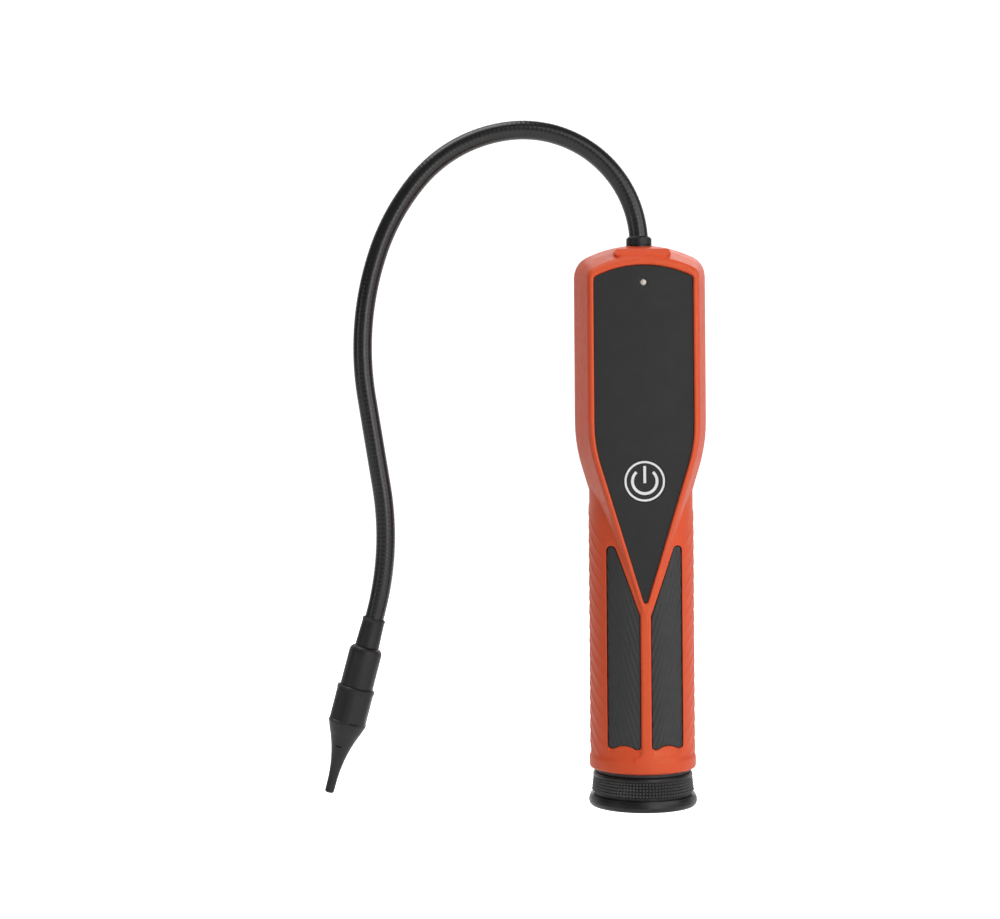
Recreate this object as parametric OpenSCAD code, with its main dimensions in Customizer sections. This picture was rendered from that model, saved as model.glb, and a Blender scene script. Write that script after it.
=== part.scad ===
// Handheld refrigerant leak detector. A moulded boot covers a two-shell housing with two D cells in
// its handle, and a stay-put neck carries a plug-in sensor under a pull-off nozzle cover.
// Millimetres, +Z up, origin at the centre of the battery cap's flat foot, label faces -Y.

/* [Cells] */
// Diameter of one D cell
cell_d = 34.2; // [32:0.1:36]
// Length of one D cell with its nub
cell_l = 61.5; // [56:0.5:66]
// Diameter of the cell's nub
nub_d = 9.5; // [6:0.5:12]
// Height of the cell's nub
nub_h = 1.5; // [1:0.1:2.5]

/* [Walls and fits] */
// Room round a cell in its tube
cell_room = 0.4; // [0.2:0.05:0.8]
// Wall of the battery tube
tube_wall = 1.5; // [1.3:0.1:2.2]
// Gap between pieces that lie inside each other
fit = 0.2; // [0.1:0.05:0.3]
// Wall of the two inner shells
shell_wall = 1.6; // [1.2:0.1:2.2]
// Wall of the moulded boot
boot_wall = 2.3; // [1.8:0.1:2.6]

/* [Head] */
// Full width of the head at its widest line
head_w = 58.6; // [54:0.2:66]
// Rise of the head's top above the battery tube
head_rise = 112.9; // [104:0.5:125]
// Radius of the head's arched top
head_top_r = 55; // [45:1:80]
// Radius of the head's upper corners
head_corner_r = 9.5; // [6:0.5:14]
// Depth of the flat belt along the head's widest line
head_belt = 6; // [4:0.5:10]
// Radius of the bend from the head's sides to the V
head_shoulder_r = 71; // [50:1:90]
// Drop of the widest outline's virtual V tip below the battery tube
head_v_drop = 72.8; // [68:0.2:78]

/* [Label] */
// Full width of the label
label_w = 42.4; // [38:0.2:46]
// Rise of the label's top above the battery tube
label_rise = 101.1; // [95:0.1:106]
// Radius of the label's arched top
label_top_r = 47; // [36:1:60]
// Radius of the label's upper corners
label_corner_r = 1.2; // [0.6:0.1:4]
// Radius of the bend from the label's sides to the V
label_shoulder_r = 63; // [45:1:80]
// Drop of the label's virtual V tip below the battery tube
label_v_drop = 46.7; // [42:0.2:52]
// Half angle of the V
v_angle = 16.9; // [15:0.1:19]
// Thickness of the label film
label_t = 0.5; // [0.3:0.1:0.8]
// Width of the raised lip round the label
lip_w = 2.7; // [2.2:0.1:3.4]
// Height of the lip above the boot's front
lip_h = 1; // [0.6:0.05:1.4]

/* [Handle] */
// Height of the boot's lower edge
boot_z = 16.4; // [16.1:0.1:17.6]
// Half width of the rib between the grips
rib_half = 2.2; // [1.9:0.1:3]
// Height of the rib above the handle
rib_h = 0.7; // [0.4:0.1:1.2]
// Height of the rib's sloped lower end
rib_z = 21.9; // [20.4:0.1:24]
// Outer edge of the grips, from the middle
grip_out = 16.6; // [15:0.1:18]
// Height of the grips' lower edge
grip_z = 27.5; // [26.5:0.1:31]
// Drop of the grips' tops below the battery tube
grip_drop = 21.1; // [18:0.1:30]
// Distance of the grips from the label's V
grip_rim = 5; // [4.4:0.1:6]
// Depth of the grips below the boot
grip_sink = 0.5; // [0.3:0.1:0.9]
// Height of the side ridges
ridge_h = 0.45; // [0.3:0.05:0.7]
// Rise from one side ridge to the next
ridge_pitch = 6.4; // [6:0.2:9]

/* [Cap] */
// Thickness of the cap's floor
cap_floor = 4.1; // [3.5:0.1:4.5]
// Radius of the cap's foot above the handle's
foot_over = 1.1; // [0.6:0.1:2]
// Top of the cap's foot
foot_z = 4.8; // [4.6:0.1:5.1]
// Bottom of the knurled band
knurl_z = 6.2; // [5.9:0.1:6.5]
// Top of the knurled band
knurl_top = 12.8; // [12.3:0.1:13.1]
// Depth of the knurl
knurl_depth = 0.6; // [0.4:0.05:0.8]
// Teeth round the knurled band
knurl_count = 96; // [60:4:100]
// Rows of the knurled band
knurl_rows = 5; // [3:1:5]
// Top of the cap's shoulder
cap_top = 15; // [14.7:0.1:15.3]
// Length of the pressed battery spring
spring_l = 8; // [7:0.2:10]
// Wire of the battery spring
spring_wire = 0.9; // [0.6:0.1:1.2]
// Turns of the battery spring
spring_turns = 4; // [3:1:5]

/* [Neck] */
// Outer diameter of the neck's sleeve
neck_d = 8.5; // [7.5:0.1:9]
// Wall of the neck's sleeve
sleeve_wall = 0.75; // [0.5:0.05:1]
// Wall of the stay-put core
core_wall = 1.35; // [1:0.05:1.6]
// Diameter of the lead inside the core
lead_d = 2.6; // [1.6:0.1:3]
// Outer diameter of the neck's ferrule
ferrule_d = 11.4; // [10.8:0.1:13]
// Height of the ferrule above the head
ferrule_h = 3.8; // [3:0.1:6]

/* [Probe] */
// Diameter of the neck's end sleeve
end_d = 10.4; // [9.8:0.1:12]
// Length of the end sleeve
end_l = 13; // [12:0.5:18]
// Diameter of the sensor's socket
socket_d = 14.8; // [14:0.1:16]
// Length of the socket
socket_l = 18.7; // [16:0.1:24]
// Diameter of the nozzle cover
cover_d = 17; // [16.4:0.1:19]
// Length of the cover's straight part
cover_l = 17.6; // [16:0.1:24]
// Length of the nozzle
nozzle_l = 31.3; // [26:0.1:36]
// Diameter of the nozzle's tip
tip_d = 4.1; // [3.6:0.1:5]
// Diameter of the hole in the tip
tip_hole = 2.2; // [1.4:0.1:2.4]
// Radius of the nozzle's flare
flare_r = 60; // [50:1:68]
// Grip flutes round the cover
flute_count = 6; // [4:1:7]
// Diameter of the sensor's can
sensor_d = 8.4; // [7:0.1:9]

/* [Electronics] */
// Diameter of the power key
key_d = 18.2; // [16:0.1:20]
// Rise of the power key above the battery tube
key_rise = 7.3; // [7:0.1:9]
// Travel of the power key
key_travel = 0.5; // [0.3:0.05:0.6]
// Diameter of the indicator lamp
lamp_d = 3; // [2.4:0.1:4]
// Drop of the indicator lamp below the label's top
lamp_drop = 6.7; // [6.4:0.1:9]
// Thickness of the circuit board
board_t = 1.6; // [1.2:0.1:2]

/* [Hidden] */
$fn = 64;

// A step that lets one cut run clear through another
over = 1;
// Thickness of the slices that a hull joins
skin = 0.02;
// Step that keeps neighbouring faces of the boot out of one plane
proud = 0.15;

// Radii of the handle, from the cell outwards
cell_r = cell_d / 2;
tube_r = cell_r + cell_room;
tube_out = tube_r + tube_wall;
shell_r = tube_out + fit;
shell_out = shell_r + shell_wall;
boot_r = shell_out + fit / 2;
handle_r = boot_r + boot_wall;

// Heights of the handle, from the foot upwards
contact_t = 0.5;
tube_z = cap_floor + contact_t + fit;
cell_z = cap_floor + contact_t + spring_l;
cells_top = cell_z + 2 * cell_l;
tube_top = cells_top + contact_t + fit + tube_wall;

// The head's planes from front to back
front_y = -handle_r;
label_y = front_y + 0.3;
panel_y = label_y + label_t;
wall_y = panel_y + shell_wall;
rear_y = handle_r - 1.2;

// One family of shield outlines: 0 is the label's edge and 1 is the head's widest line
function mix(a, b, t) = a + (b - a) * t;
function grow(mm) = 2 * mm / (head_w - label_w);
function shield_w(t) = mix(label_w, head_w, t) / 2;
function shield_top(t) = tube_top + mix(label_rise, head_rise, t);
function shield_tip(t) = tube_top - mix(label_v_drop, head_v_drop, t);
function arc(c, r, from, to, n) = [
    for (i = [0:n]) let (a = from + (to - from) * i / n) c + r * [cos(a), sin(a)]
];

// Right half of an outline, from its top centre down to its tip or to a flat floor
function shield_side(t, floor_z) =
    let (
        w = shield_w(t),
        top_r = mix(label_top_r, head_top_r, t),
        corner_r = max(0.6, mix(label_corner_r, head_corner_r, t)),
        bend_r = mix(label_shoulder_r, head_shoulder_r, t),
        top_c = [0, shield_top(t) - top_r],
        corner_c = top_c + [w - corner_r, sqrt(pow(top_r - corner_r, 2) - pow(w - corner_r, 2))],
        corner_a = atan2(corner_c[1] - top_c[1], corner_c[0]),
        bend_c = [w - bend_r, shield_tip(t) + w / tan(v_angle) + bend_r * tan(v_angle / 2)]
    )
    concat(
        arc(top_c, top_r, 90, corner_a, 8),
        arc(corner_c, corner_r, corner_a - corner_a / 5, 0, 4),
        arc(bend_c, bend_r, 0, -v_angle, 5),
        [[(floor_z - shield_tip(t)) * tan(v_angle), floor_z]]
    );
// The label's edge lies under the lip, and its tip and its window's are blunt
label_tuck = 0.5;
window_floor = shield_tip(0) + 1.2;
label_floor = window_floor - label_tuck;
function mirrored(side) = concat(
    side, [for (i = [len(side) - 1:-1:0]) if (side[i][0] > 0.001) [-side[i][0], side[i][1]]]
);

// Plate of an outline with its rear face at y, and the hull's thin slices
module shield_plate(y, depth, t, floor_z) {
    translate([0, y, 0])
        rotate([90, 0, 0])
            linear_extrude(depth)
                polygon(mirrored(shield_side(t, is_undef(floor_z) ? shield_tip(t) : floor_z)));
}
module slice(y, t, floor_z) {
    shield_plate(y, skin, t, floor_z);
}

// Lays a shape that was drawn in X and Z flat against the front, from y backwards
module facing(y, depth) {
    translate([0, y + depth, 0])
        rotate([90, 0, 0])
            linear_extrude(depth)
                children();
}
module ring(out_r, in_r, z, h) {
    translate([0, 0, z])
        difference() {
            cylinder(r = out_r, h = h);
            translate([0, 0, -over])
                cylinder(r = in_r, h = h + 2 * over);
        }
}
module front_bar(x, z, y, depth, r) {
    translate([x, y, z])
        rotate([-90, 0, 0])
            cylinder(r = r, h = depth);
}

// The boot's outer and inner forms, and the shells that fill it
head_floor = tube_top + 2;
shell_top = head_floor + 5;
module boot_form() {
    hull() {
        slice(front_y + lip_sink, grow(lip_w + lip_crease));
        slice(front_y / 2, mix(grow(lip_w), 1, 0.64));
        shield_plate(head_belt / 2, head_belt, 1);
        slice(rear_y - 3.5, 0.55);
        slice(rear_y - 0.8, 0.28);
        slice(rear_y, 0.12);
    }
}
room_step = 1.2;
module head_room(in, floor_z) {
    hull() {
        slice(panel_y + in + room_step, grow(lip_w - boot_wall - in), floor_z);
        shield_plate(head_belt / 2, head_belt, 1 - grow(boot_wall + in), floor_z);
        slice(rear_y - boot_wall - in, grow(-in), floor_z);
    }
}
shell_in = fit;
room_in = fit + shell_wall;
room_y = panel_y + room_in + room_step;

// Moulded boot with its lip, grip windows, rib, side ridges and top pad
pad_w = 25;
pad_h = 3.3;
pad_lift = 0.5;
pad_run = 2.4;
pad_y = front_y + 2.3;
pad_end = -head_belt;
ridge_r = 1.6;
ridge_slope = 45;
ridge_bend = 1.75 * handle_r;
ridge_span = 29;
ridge_low = boot_z + 12;
ridge_count = floor((tube_top - 5 - ridge_low) / ridge_pitch) + 1;
hem = 1.4;
hem_in = 1.3;
hem_top = 6.2;
hem_out = 0.7;

module handle_form() {
    translate([0, 0, boot_z])
        rotate_extrude($fn = 96)
            polygon([
                [0, 0], [handle_r - hem_in, 0], [handle_r + hem_out - 0.3 * hem_in, 0.35 * hem],
                [handle_r + hem_out, hem], [handle_r + hem_out, hem_top - hem_out],
                [handle_r, hem_top + hem_out],
                [handle_r, tube_top + 6 - boot_z], [0, tube_top + 6 - boot_z]
            ]);
}
module side_ridges() {
    for (side = [0, 180], row = [0:ridge_count - 1])
        rotate([0, 0, side])
            translate([handle_r - ridge_bend, 0, ridge_low + row * ridge_pitch])
                rotate([side == 0 ? ridge_slope : -ridge_slope, 0, 0])
                    rotate([0, 0, -ridge_span])
                        rotate_extrude(angle = 2 * ridge_span, $fn = 60)
                            translate([ridge_bend + ridge_h - ridge_r, 0])
                                circle(ridge_r, $fn = 12);
}
module pad_outline(r) {
    hull() {
        for (side = [-1, 1])
            translate([side * (pad_w / 2 - r), shield_top(grow(lip_w + lip_crease)) + pad_lift + r])
                circle(r, $fn = 24);
    }
}
module top_pad() {
    hull() {
        facing(pad_y, skin)
            pad_outline(pad_h / 5);
        facing(pad_y + pad_run, pad_end - pad_y - pad_run)
            pad_outline(pad_h / 2);
    }
}
lip_in = 0.6;
lip_edge = 0.65;
lip_lean = 0.35;
lip_crease = 0.55;
lip_sink = 0.5;
module lip() {
    hull() {
        slice(front_y + over, grow(lip_w));
        slice(front_y - lip_edge * lip_h, grow(lip_w - proud));
        slice(front_y - lip_h + skin, grow(lip_w - lip_in));
    }
}
module label_window() {
    lean = lip_lean * (label_y - front_y + lip_h + over);
    hull() {
        slice(front_y - lip_h - over, grow(lean), window_floor - lean);
        slice(label_y, 0, window_floor);
        slice(front_y / 1.6, 0, window_floor);
    }
    hull() {
        slice(front_y - lip_h - over, grow(lip_in + over), window_floor - lip_in - over);
        slice(front_y - lip_edge * lip_h, grow(lip_lean), window_floor - lip_lean);
    }
    shield_plate(panel_y + fit / 2, label_t + fit, grow(label_tuck + fit / 2), label_floor - fit / 2);
}
module front_rib() {
    top = tube_top - label_v_drop;
    hull() {
        facing(front_y - rib_h, 1)
            polygon(rib_outline(rib_half - 0.6, rib_z + 2 * rib_run, top));
        facing(front_y - 0.55 * rib_h, 1)
            polygon(rib_outline(rib_half - proud, rib_z + rib_run, top));
        facing(front_y + 1.5, 1)
            polygon(rib_outline(rib_half, rib_z, top));
    }
}
rib_run = 2;
function rib_outline(half, low, top) = [[half, low], [half, top], [-half, top], [-half, low]];
module rib_foot() {
    half = rib_half + scoop_in;
    low = boot_z + hem;
    intersection() {
        translate([0, 0, low])
            cylinder(r = handle_r + hem_out - proud / 3, h = scoop_z - low, $fn = 96);
        facing(1.1 * front_y, -front_y / 2)
            translate([-half, low - over])
                square([2 * half, scoop_z - low + 2 * over]);
    }
}

// A grip's outline by its corner circles, shrunk by an inset; side is 1 on the right
grip_corner = 1.3;
rim_taper = 1.3;
grip_top = tube_top - grip_drop;
function v_height(x, off) = shield_tip(0) + (x - off / cos(v_angle)) / tan(v_angle);
dome_r = 7.5;
dome_h = 1.5;
grip_top_r = max(
    grip_corner, (v_height(grip_out, grip_rim) - grip_top) / ((1 + 1 / cos(v_angle)) / tan(v_angle) - 1)
);
module grip_shape(side, inset) {
    r = grip_corner;
    in = inset + r;
    rim = grip_rim + in;
    middle = side * (rib_half + grip_out) / 2;
    difference() {
        hull() {
            for (p = [
                [rib_half + proud + in, grip_z + in],
                [grip_out - in, grip_z + in],
                [rib_half + proud + in, v_height(rib_half + proud + in, rim - rim_taper)]
            ])
                front_bar(side * p[0], p[1], 1.3 * front_y, -front_y, r, $fn = 24);
            translate([side * (grip_out - grip_top_r), 0, grip_top - grip_top_r])
                front_bar(0, 0, 1.3 * front_y, -front_y, grip_top_r - inset, $fn = 24);
        }
        translate([middle, 0, grip_z + dome_h - dome_r])
            front_bar(0, 0, 1.4 * front_y, -1.2 * front_y, dome_r + inset, $fn = 64);
    }
}
scoop_in = 3;
scoop_r = 2.8;
scoop_z = grip_z - 0.9;
module grip_ramp(side) {
    intersection() {
        translate([0, 0, grip_z - 4])
            rotate_extrude($fn = 96)
                polygon([
                    [handle_r - grip_sink, 6], [handle_r - grip_sink, 4], [handle_r + 0.3, 0],
                    [handle_r + over, 0], [handle_r + over, 6]
                ]);
        hull() {
            for (x = [rib_half + scoop_in, grip_out - scoop_in])
                front_bar(side * x, scoop_z, 1.3 * front_y, -front_y, scoop_r, $fn = 24);
        }
    }
}
module boot() {
    color([0.88, 0.33, 0.19])
        difference() {
            union() {
                boot_form();
                handle_form();
                lip();
                front_rib();
                rib_foot();
                top_pad();
                intersection() {
                    side_ridges();
                    ring(handle_r + 2, 2, boot_z + hem_top - hem_out, tube_top - boot_z);
                }
            }
            head_room(0, head_floor);
            translate([0, 0, boot_z - over])
                cylinder(r = boot_r, h = head_floor + 6 - boot_z, $fn = 96);
            label_window();
            for (side = [-1, 1]) {
                grip_shape(side, 0);
                grip_ramp(side);
            }
            translate([0, 0, head_floor])
                cylinder(r = stem_r + fit, h = 2 * head_rise);
        }
}

// Inner shells: a handle half with the head's half above it, split at Y = 0
boss_r = 2.8;
boss_depth = 12;
screw_r = 1.25;
screw_head_r = 2.3;
boss_bite = 0.86;
boss_share = (-boss_depth - room_y) / (-head_belt / 2 - room_y);
boss_wall = mix(label_w / 2 + lip_w, head_w / 2, boss_share) - boot_wall - room_in;
boss_x = boss_wall - boss_r + boss_bite;
boss_rises = [34, 88];
board_boss_r = 2.4;
board_x = label_w / 2 - 8.4;
board_rises = [42, 84];

module shell_skin() {
    difference() {
        union() {
            head_room(shell_in, head_floor + fit);
            translate([0, 0, boot_z])
                cylinder(r = shell_out, h = shell_top - boot_z);
        }
        head_room(room_in, head_floor + shell_wall);
        translate([0, 0, boot_z - over])
            cylinder(r = shell_r, h = shell_top - boot_z + 2 * over);
        translate([0, 0, head_floor + 20])
            cylinder(r = stem_r + fit, h = 2 * head_rise);
        translate([0, 0, nut_top - nut_t - over])
            cylinder(r = nut_r + fit, h = nut_t + over + fit / 2);
    }
}
module half_space(side) {
    span = 4 * head_rise;
    translate([-span / 2, side > 0 ? skin : -span - skin, -over])
        cube([span, span, span]);
}
module front_shell() {
    color([0.13, 0.13, 0.14])
        difference() {
            union() {
                intersection() {
                    shell_skin();
                    half_space(-1);
                }
                difference() {
                    shield_plate(wall_y + 1.2, 1.2 + shell_wall, grow(-fit), window_floor + 2 * fit);
                    translate([0, 0, boot_z])
                        cylinder(r = shell_r, h = shell_top - boot_z);
                    shield_plate(wall_y + 1.2 + over, 1.2 + over, grow(-shell_wall - 1), shell_top);
                }
                for (side = [-1, 1], rise = boss_rises)
                    front_bar(side * boss_x, tube_top + rise, -boss_depth, boss_depth - skin, boss_r);
                for (side = [-1, 1], rise = board_rises)
                    translate([side * board_x, 0, tube_top + rise])
                        front_bar(0, 0, wall_y - over, board_y - wall_y + over, board_boss_r);
            }
            for (side = [-1, 1], rise = boss_rises)
                front_bar(side * boss_x, tube_top + rise, -boss_depth + 2, boss_depth, screw_r + fit / 2);
            for (side = [-1, 1], rise = board_rises)
                front_bar(side * board_x, tube_top + rise, wall_y + fit, boss_depth, screw_r + fit / 2);
            front_bar(0, key_z, panel_y - over, shell_wall + 2 * over, key_r + fit);
            front_bar(0, key_z, wall_y, board_y - wall_y, key_r + key_rim + fit);
            front_bar(0, lamp_z, panel_y - over, board_y - panel_y, lamp_d / 2 + fit);
        }
}
module rear_shell() {
    color([0.13, 0.13, 0.14])
        difference() {
            union() {
                intersection() {
                    shell_skin();
                    half_space(1);
                }
                for (side = [-1, 1], rise = boss_rises)
                    front_bar(side * boss_x, tube_top + rise, skin, boss_depth, boss_r);
            }
            for (side = [-1, 1], rise = boss_rises) {
                front_bar(side * boss_x, tube_top + rise, -over, 2 * boss_depth, screw_r + fit / 2);
                front_bar(side * boss_x, tube_top + rise, screw_seat, 2 * boss_depth, screw_head_r + fit);
            }
        }
}
screw_seat = 6;
module housing_screws() {
    color("silver")
        for (side = [-1, 1], rise = boss_rises)
            translate([side * boss_x, 0, tube_top + rise]) {
                front_bar(0, 0, screw_seat, 2, screw_head_r);
                front_bar(0, 0, -boss_depth + 3, boss_depth - 3 + screw_seat, screw_r);
            }
}

// Label film with its key hole and lamp window
module label_overlay() {
    color([0.21, 0.21, 0.21])
        difference() {
            shield_plate(panel_y, label_t, grow(label_tuck), label_floor);
            front_bar(0, key_z, label_y - over, label_t + 2 * over, key_r + fit);
            front_bar(0, lamp_z, label_y - over, label_t + 2 * over, lamp_d / 2 + 0.6);
        }
}

// Dark grip inserts that lie in the boot's windows
module grip_insert(side) {
    color([0.25, 0.25, 0.25])
        intersection() {
            ring(handle_r - grip_sink, boot_r + fit / 2, grip_z - 3, grip_top - grip_z + 6);
            grip_shape(side, fit);
        }
}
module left_grip_insert() { grip_insert(-1); }
module right_grip_insert() { grip_insert(1); }

// Power key, its switch and the lamp
key_r = key_d / 2;
key_z = tube_top + key_rise;
key_flange_t = 0.5;
key_rim = 0.9;
key_flange_y = wall_y + fit;
plunger_y = key_flange_y + key_flange_t;
plunger_r = 1.7;
plunger_in = 1.4;
switch_y = plunger_y + key_travel + fit;
switch_w = 6;
switch_t = 3.3;
board_y = switch_y + switch_t;
lamp_z = shield_top(0) - lamp_drop;

module power_button() {
    color([0.21, 0.21, 0.21])
        union() {
            front_bar(0, key_z, label_y, plunger_y - label_y, key_r);
            front_bar(0, key_z, key_flange_y, key_flange_t, key_r + key_rim);
        }
}
module switch_plunger() {
    color([0.7, 0.2, 0.2])
        front_bar(0, key_z, plunger_y, switch_y - plunger_y + plunger_in, plunger_r);
}
module tactile_switch() {
    color([0.3, 0.3, 0.32])
        difference() {
            translate([-switch_w / 2, switch_y, key_z - switch_w / 2])
                cube([switch_w, switch_t, switch_w]);
            front_bar(0, key_z, switch_y - over, over + plunger_in + key_travel + fit, plunger_r + fit);
        }
}
module indicator_lamp() {
    color([0.85, 0.9, 0.85])
        union() {
            front_bar(0, lamp_z, label_y + 1, board_y - label_y - 1, lamp_d / 2);
            translate([0, label_y + 1, lamp_z])
                sphere(d = lamp_d);
            front_bar(0, lamp_z, board_y - 1, 1, lamp_d / 2 + 0.3);
        }
}

// Circuit board on the front shell's bosses, with what it carries
board_rear = board_y + board_t;
chip_rise = 62;
sounder_rise = 40;
connector_rise = 88;
connector_t = 5;

module circuit_board() {
    color([0.1, 0.35, 0.2])
        difference() {
            shield_plate(board_rear, board_t, grow(-4.4), head_floor + 2.5);
            for (side = [-1, 1], rise = board_rises)
                front_bar(side * board_x, tube_top + rise, board_y - over, board_t + 2 * over, screw_r + fit);
        }
}
module on_board(rise, size) {
    translate([-size[0] / 2, board_rear, tube_top + rise - size[2] / 2])
        cube(size);
}
module control_chip() {
    color([0.12, 0.12, 0.12])
        on_board(chip_rise, [12, 1.4, 12]);
}
module sounder() {
    color([0.1, 0.1, 0.1])
        difference() {
            front_bar(0, tube_top + sounder_rise, board_rear, 5.5, 7);
            front_bar(0, tube_top + sounder_rise, board_rear + 4, 2 + over, 1);
        }
}
module lead_connector() {
    color([0.9, 0.9, 0.85])
        on_board(connector_rise, [9, connector_t, 6]);
}
module board_screws() {
    color("silver")
        for (side = [-1, 1], rise = board_rises)
            translate([side * board_x, 0, tube_top + rise]) {
                front_bar(0, 0, board_rear, 1.6, screw_head_r);
                front_bar(0, 0, board_y - 2.5, 2.5 + board_t, screw_r);
            }
}

// Battery tube with its cells, contacts and leads
strip_w = 5;
strip_t = 0.5;
strip_top = tube_top + 1;
strip_y = tube_out - strip_t - fit;
rivet_r = 1.5;
rivet_h = 1.2;
wire_r = 0.6;
wire_x = 4.5;

module battery_tube() {
    color([0.16, 0.16, 0.17])
        difference() {
            translate([0, 0, tube_z])
                cylinder(r = tube_out, h = tube_top - tube_z);
            translate([0, 0, tube_z - over])
                cylinder(r = tube_r, h = tube_top - tube_wall - tube_z + over);
            translate([0, 0, tube_top - tube_wall - over])
                cylinder(r = rivet_r + fit, h = tube_wall + 2 * over);
            translate([-strip_w / 2 - fit, strip_y - fit, tube_z - over])
                cube([strip_w + 2 * fit, 3, tube_top - tube_z + 2 * over]);
        }
}
module cell(z) {
    color([0.75, 0.6, 0.25])
        translate([0, 0, z]) {
            cylinder(r = cell_r, h = cell_l - nub_h);
            cylinder(d = nub_d, h = cell_l);
        }
}
module lower_battery() { cell(cell_z); }
module upper_battery() { cell(cell_z + cell_l); }
module positive_contact() {
    color("gold")
        translate([0, 0, cells_top]) {
            cylinder(r = nub_d / 2 + 2, h = contact_t);
            cylinder(r = rivet_r, h = tube_top - cells_top + rivet_h);
        }
}
module negative_strip() {
    color("gold")
        translate([-strip_w / 2, strip_y, tube_z])
            cube([strip_w, strip_t, strip_top - tube_z]);
}
module wire_bend(x, y, z, bend_r) {
    translate([x, y - bend_r, z])
        rotate([90, 0, 90])
            rotate_extrude(angle = 90)
                translate([bend_r, 0])
                    circle(wire_r);
    translate([x, board_rear, z + bend_r])
        rotate([-90, 0, 0])
            cylinder(r = wire_r, h = y - bend_r - board_rear);
}
module battery_leads() {
    color([0.7, 0.1, 0.1]) {
        wire_bend(0, 0, tube_top + rivet_h, 10);
        wire_bend(0, strip_y + strip_t / 2, strip_top, 14);
    }
}

// Battery cap that screws on the tube's end, its contact, spring and seal
cap_bore = tube_out + 0.35;
foot_r = handle_r + foot_over;
foot_in = 1;
foot_low = 2;
band_r = handle_r - 0.15;
band_taper = 0.75;
cap_round = 1.3;
seal_out = cap_bore + 1.6;

function band_edge(z) = band_r - band_taper * (z - knurl_z) / (knurl_top - knurl_z);
module knurl_row(row) {
    rise = (knurl_top - knurl_z) / knurl_rows;
    z = knurl_z + row * rise;
    peak = band_edge(z + rise / 2);
    valley = peak - knurl_depth;
    notch = valley - fit / 4;
    intersection() {
        translate([0, 0, z])
            linear_extrude(rise)
                polygon([
                    for (i = [0:2 * knurl_count - 1])
                        let (r = i % 2 == 0 ? peak : notch, a = 180 * i / knurl_count)
                        r * [cos(a), sin(a)]
                ]);
        translate([0, 0, z])
            rotate_extrude()
                polygon([[0, 0], [valley, 0], [peak, rise / 2], [valley, rise], [0, rise]]);
    }
}
module battery_cap() {
    shoulder_r = band_edge(knurl_top);
    band_low = shoulder_r - knurl_depth;
    color([0.17, 0.17, 0.18])
        difference() {
            union() {
                rotate_extrude()
                    polygon(concat(
                        [
                            [0, 0], [foot_r - foot_in, 0], [foot_r - 0.35 * foot_in, 0.4 * foot_low],
                            [foot_r, foot_low], [foot_r - 0.25 * foot_in, foot_z - 1.4],
                            [foot_r - 0.8 * foot_in, foot_z], [band_low, foot_z],
                            [band_low, knurl_top + fit], [shoulder_r, knurl_top + fit]
                        ],
                        arc([shoulder_r - cap_round, cap_top - cap_round], cap_round, 0, 90, 4),
                        [[0, cap_top]]
                    ));
                for (row = [0:knurl_rows - 1])
                    knurl_row(row);
            }
            translate([0, 0, cap_floor])
                cylinder(r = cap_bore, h = cap_top);
        }
}
module cap_contact() {
    color("gold")
        translate([0, 0, cap_floor])
            cylinder(r = cap_bore - fit, h = contact_t);
}
module cap_seal() {
    color([0.08, 0.08, 0.08])
        ring(seal_out, tube_out + fit, cap_top, boot_z - cap_top - fit);
}

// Conical spring between the cap's contact and the lower cell, swept along its helix
spring_low_r = 12;
spring_top_r = 6;
function helix(s) =
    let (a = 360 * spring_turns * s, r = mix(spring_low_r, spring_top_r, s))
    [r * cos(a), r * sin(a), mix(spring_wire, spring_l - spring_wire, s)];
module battery_spring() {
    rings = 16 * spring_turns;
    sides = 8;
    points = [
        for (i = [0:rings], k = [0:sides - 1])
            let (
                c = helix(i / rings),
                out = [c[0], c[1], 0] / norm([c[0], c[1]]),
                b = 360 * k / sides
            )
            c + spring_wire / 2 * (cos(b) * out + sin(b) * [0, 0, 1])
    ];
    walls = [
        for (i = [0:rings - 1], k = [0:sides - 1])
            let (n = (k + 1) % sides)
            [i * sides + k, i * sides + n, (i + 1) * sides + n, (i + 1) * sides + k]
    ];
    low_end = [for (k = [sides - 1:-1:0]) k];
    top_end = [for (k = [0:sides - 1]) rings * sides + k];
    color("silver")
        translate([0, 0, cap_floor + contact_t])
            polyhedron(points, concat([low_end], walls, [top_end]));
}

// Neck: straight runs and tangent bends, each [length, 0] or [radius, turn], drawn in X and Z
stem_r = neck_d / 2 + 0.95;
ferrule_z = shield_top(1) + 0.15;
neck_low = ferrule_z - 12;
NECK = [
    [12.45, 0], [52, 95], [63, 45], [100, 21], [136, 28], [41, 0], [135, -24], [3, 0]
];
function heading(a) = [cos(a), sin(a)];
function run_end(p, a, run) =
    let (side = sign(run[1]))
    run[1] == 0
        ? [p + run[0] * heading(a), a]
        : [p + run[0] * (heading(a + 90 * side) - heading(a + 90 * side + run[1])), a + run[1]];
function neck_state(i) =
    i == 0
        ? [[0, neck_low], 90]
        : let (s = neck_state(i - 1)) run_end(s[0], s[1], NECK[i - 1]);
neck_end = neck_state(len(NECK));
probe_lean = 270 - neck_end[1];

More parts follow.
